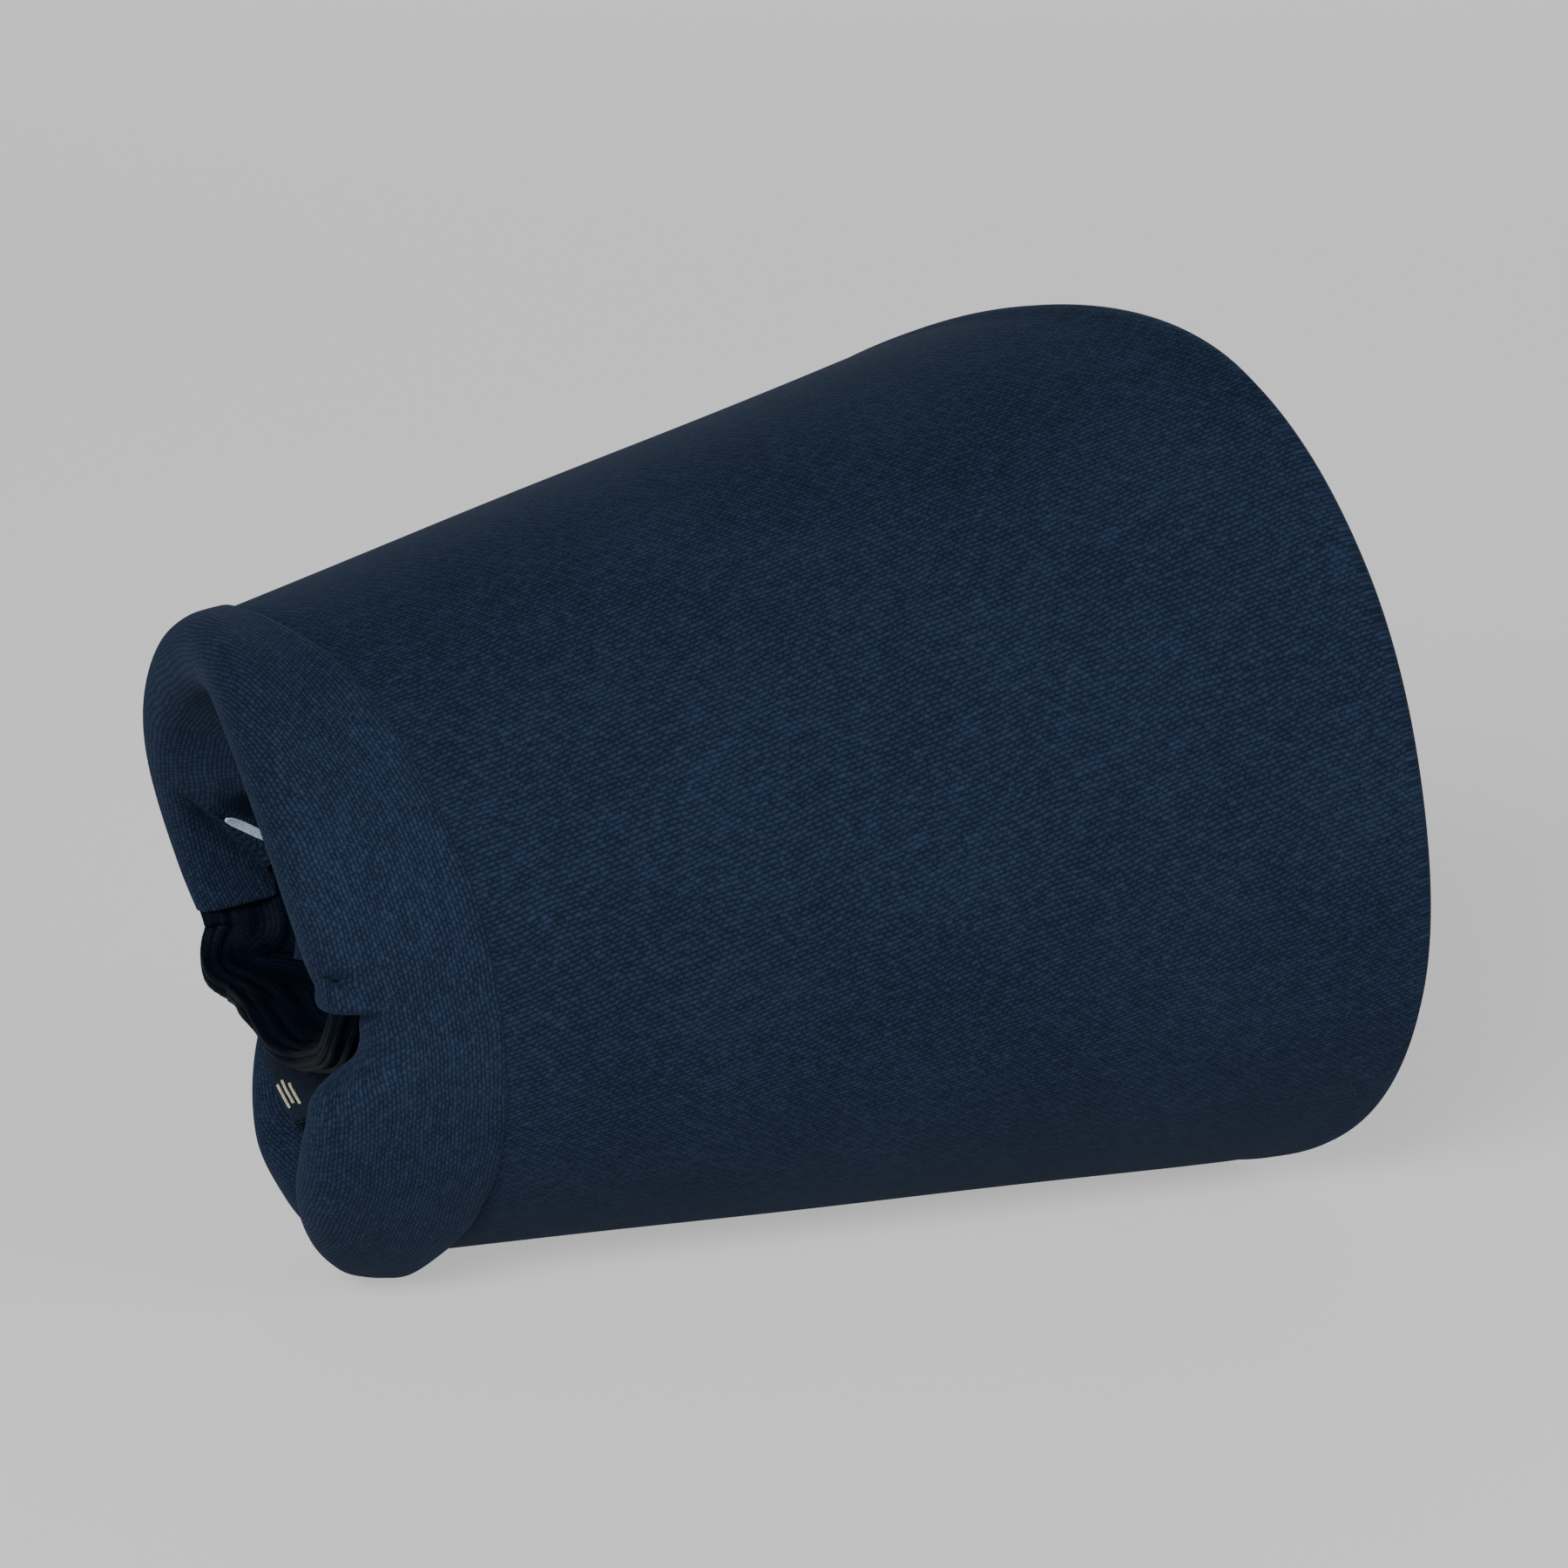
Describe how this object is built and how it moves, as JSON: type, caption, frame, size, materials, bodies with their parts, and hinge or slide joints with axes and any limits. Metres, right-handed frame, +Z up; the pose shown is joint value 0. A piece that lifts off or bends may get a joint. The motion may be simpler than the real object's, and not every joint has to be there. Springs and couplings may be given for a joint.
{
  "type": "packable golf visor",
  "caption": "Wide-bill navy fabric golf visor rolled into a cone for travel, its headband folded in as a cuff at the small end.",
  "frame": {"origin": "middle of the bounding box at its base, on the surface it rests on", "axes": "+X from the small headband end to the wide rim, +Z up, -Y towards the bill's centre line"},
  "size_m": [0.1362, 0.1024, 0.1087],
  "materials": {
    "top_cloth": "navy stretch twill, matt",
    "foam": "closed foam sheet",
    "under_cloth": "navy twill, matt",
    "binding": "woven binding tape",
    "band_cloth": "navy stretch twill, matt",
    "sweat_cloth": "brushed sweatband knit",
    "stiffener": "non-woven interlining",
    "strap_cloth": "gathered navy casing cloth",
    "elastic": "woven elastic",
    "mark": "pale printed mark",
    "thread": "polyester thread",
    "label_cloth": "woven label"
  },
  "bodies": {
    "roll": {"bill_top_fabric": "top_cloth", "bill_foam_core": "foam", "bill_under_fabric": "under_cloth", "bill_seam_tape": "binding", "bill_band_shell": "band_cloth", "bill_sweatband": "sweat_cloth", "band_interlining": "stiffener", "strap_casing": "strap_cloth", "strap_elastic": "elastic", "bartack_inner": "thread", "label_stitch": "thread"},
    "flap": {"flap_top_fabric": "top_cloth", "flap_foam_core": "foam", "flap_under_fabric": "under_cloth", "flap_seam_tape": "binding", "flap_band_shell": "band_cloth", "flap_sweatband": "sweat_cloth", "flap_strap_end": "strap_cloth", "emblem": "mark", "bartack_outer": "thread"},
    "label": {"care_label": "label_cloth"}
  },
  "joints": [
    {"name": "flap_peel", "type": "hinge", "parent": "roll", "child": "flap", "pos_m": [-0.0187, 0.03252, 0.08406], "axis": [0.9711, 0.0743, 0.2268], "range_deg": [0, 95]},
    {"name": "label_flip", "type": "hinge", "parent": "roll", "child": "label", "pos_m": [-0.04488, 0.01905, 0.0191], "axis": [-0.0613, 0.866, 0.4962], "range_deg": [0, 45]}
  ]
}
